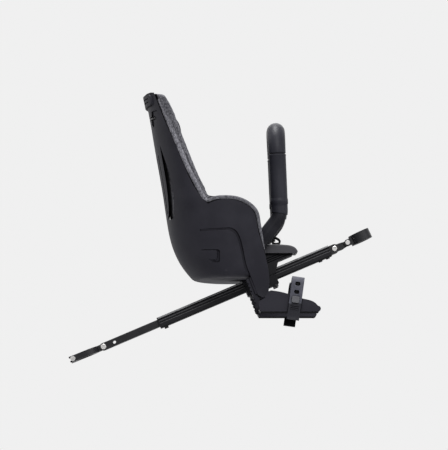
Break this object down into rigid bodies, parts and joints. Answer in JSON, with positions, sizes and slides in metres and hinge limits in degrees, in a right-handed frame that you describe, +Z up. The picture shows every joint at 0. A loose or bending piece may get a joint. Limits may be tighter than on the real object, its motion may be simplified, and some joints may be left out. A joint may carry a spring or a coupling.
{
  "type": "child bicycle seat",
  "caption": "Padded bucket seat for a child with a foam handle hoop and footrests, on a telescopic rail that clamps between a bicycle's seat post and steerer.",
  "frame": {"origin": "centre of the round opening of the seat-post clamp, on the post's axis at mid height of the yoke", "axes": "+X forward along the bicycle, +Y to the rider's left, +Z up"},
  "size_m": [0.6042, 0.2842, 0.5348],
  "materials": {
    "shell_plastic": "fine-grained satin moulding",
    "pommel_plastic": "soft-touch satin moulding",
    "bracket_plastic": "satin moulding",
    "pad_fabric": "heather knit over foam",
    "grip_foam": "matte closed-cell foam",
    "hoop_metal": "satin black",
    "webbing": "woven",
    "shoulder_fabric": "heather knit over foam",
    "buckle_plastic": "semi-gloss",
    "button_plastic": "semi-gloss",
    "strap_rubber": "matte",
    "stud_plastic": "satin",
    "rail_metal": "satin black",
    "liner_rubber": "matte",
    "bright_steel": "bright zinc",
    "dark_steel": "blackened"
  },
  "bodies": {
    "post_clamp": {"clamp_yoke": "rail_metal", "yoke_liner": "liner_rubber", "clamp_saddle": "rail_metal", "saddle_liner": "liner_rubber", "clamp_cross_bolt": "bright_steel", "clamp_cross_nut": "bright_steel"},
    "inner_rail": {"inner_rail": "rail_metal", "rail_guide": "bracket_plastic", "rear_pivot_bolt": "bright_steel", "rear_pivot_nut": "bright_steel"},
    "front_mount": {"front_tongue": "rail_metal", "steerer_collar": "rail_metal", "collar_bolt": "bright_steel", "collar_nut": "bright_steel"},
    "footrest_right": {"footrest_right": "shell_plastic", "foot_strap_right": "strap_rubber", "strap_stud_right": "stud_plastic", "strap_rivet_right": "stud_plastic"},
    "footrest_left": {"footrest_left": "shell_plastic", "foot_strap_left": "strap_rubber", "strap_stud_left": "stud_plastic", "strap_rivet_left": "stud_plastic"},
    "release_button": {"buckle_button": "button_plastic"},
    "seat": {"seat_shell": "shell_plastic", "pommel_cover": "pommel_plastic", "rail_bracket": "bracket_plastic", "bracket_jaw": "bracket_plastic", "rail_bush": "bracket_plastic", "seat_pad": "pad_fabric", "handle_top_sleeve": "grip_foam", "handle_right_sleeve": "grip_foam", "handle_left_sleeve": "grip_foam", "handle_hoop": "hoop_metal", "handle_spacers": "hoop_metal", "shoulder_strap_right": "webbing", "shoulder_strap_left": "webbing", "crotch_strap": "webbing", "strap_tail": "webbing", "shoulder_pad_right": "shoulder_fabric", "shoulder_pad_left": "shoulder_fabric", "buckle": "buckle_plastic", "outer_rail": "rail_metal", "rail_front_lug": "rail_metal", "front_pivot_bolt": "bright_steel", "front_pivot_nut": "bright_steel", "strap_anchor_bars": "dark_steel", "bracket_bolts": "dark_steel", "handle_bolts": "dark_steel", "lug_screws": "dark_steel", "rail_lock_screw": "dark_steel", "footrest_screws": "dark_steel", "footrest_nuts": "dark_steel"}
  },
  "joints": [
    {"name": "rear_pivot", "type": "hinge", "parent": "post_clamp", "child": "inner_rail", "pos_m": [0.03848, 0, 0.01555], "axis": [0, -1, 0], "range_deg": [-12, 15]},
    {"name": "rail_length", "type": "slide", "parent": "inner_rail", "child": "seat", "axis": [0.9205, 0, 0.3907], "range_m": [-0.05, 0.08]},
    {"name": "front_pivot", "type": "hinge", "parent": "seat", "child": "front_mount", "pos_m": [0.49827, 0, 0.21072], "axis": [0, -1, 0], "range_deg": [-20, 20]},
    {"name": "footrest_right_height", "type": "slide", "parent": "seat", "child": "footrest_right", "axis": [0.3584, 0, -0.9336], "range_m": [0, 0.024]},
    {"name": "footrest_left_height", "type": "slide", "parent": "seat", "child": "footrest_left", "axis": [0.3584, 0, -0.9336], "range_m": [0, 0.024]},
    {"name": "buckle_release", "type": "slide", "parent": "seat", "child": "release_button", "axis": [0, 0, -1], "range_m": [0, 0.002], "stiffness_N_per_m": 600}
  ]
}
